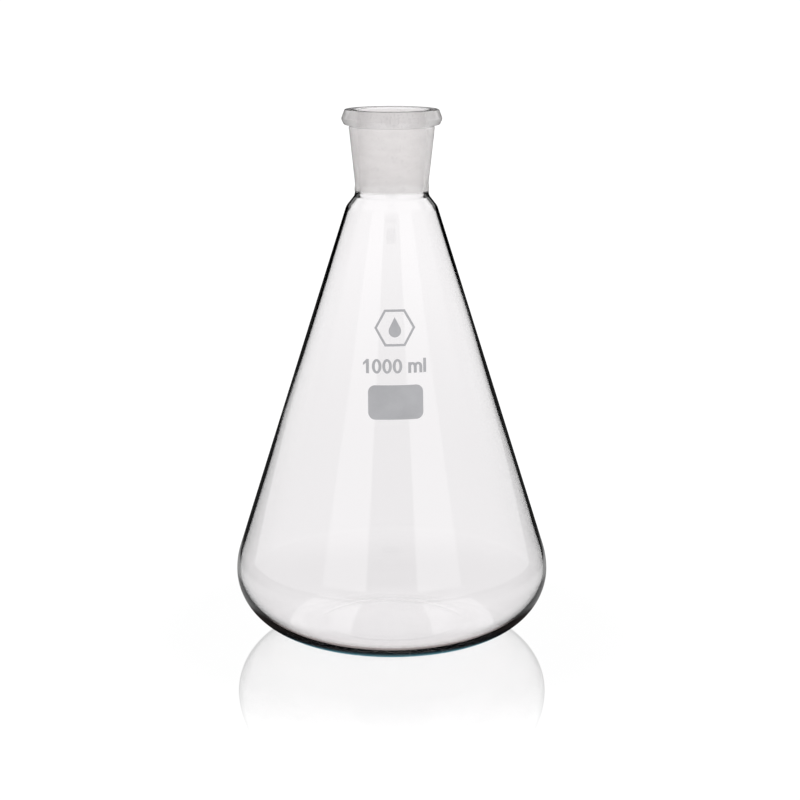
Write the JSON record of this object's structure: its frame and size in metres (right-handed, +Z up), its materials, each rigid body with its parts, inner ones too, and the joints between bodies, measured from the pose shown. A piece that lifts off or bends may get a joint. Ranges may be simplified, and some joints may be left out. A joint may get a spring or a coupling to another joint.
{
  "type": "erlenmeyer flask",
  "caption": "Conical laboratory flask of clear glass with a flat base, a ground taper socket under a rolled rim, and a fired capacity marking and writing field.",
  "frame": {"origin": "centre of the standing ring, on the surface that the flask stands on", "axes": "+Z up along the flask's axis and out of the mouth; the prints face -Y, and +X is to their right"},
  "size_m": [0.131, 0.131, 0.22],
  "materials": {
    "clear_glass": "fire-polished clear borosilicate",
    "ground_glass": "clear outside, matt ground bore",
    "fired_enamel": "matt fired enamel, pale grey"
  },
  "bodies": {
    "root": {"flask_body": "clear_glass", "joint_socket": "ground_glass", "writing_patch": "fired_enamel", "capacity_print": "fired_enamel", "emblem_print": "fired_enamel"}
  },
  "joints": []
}
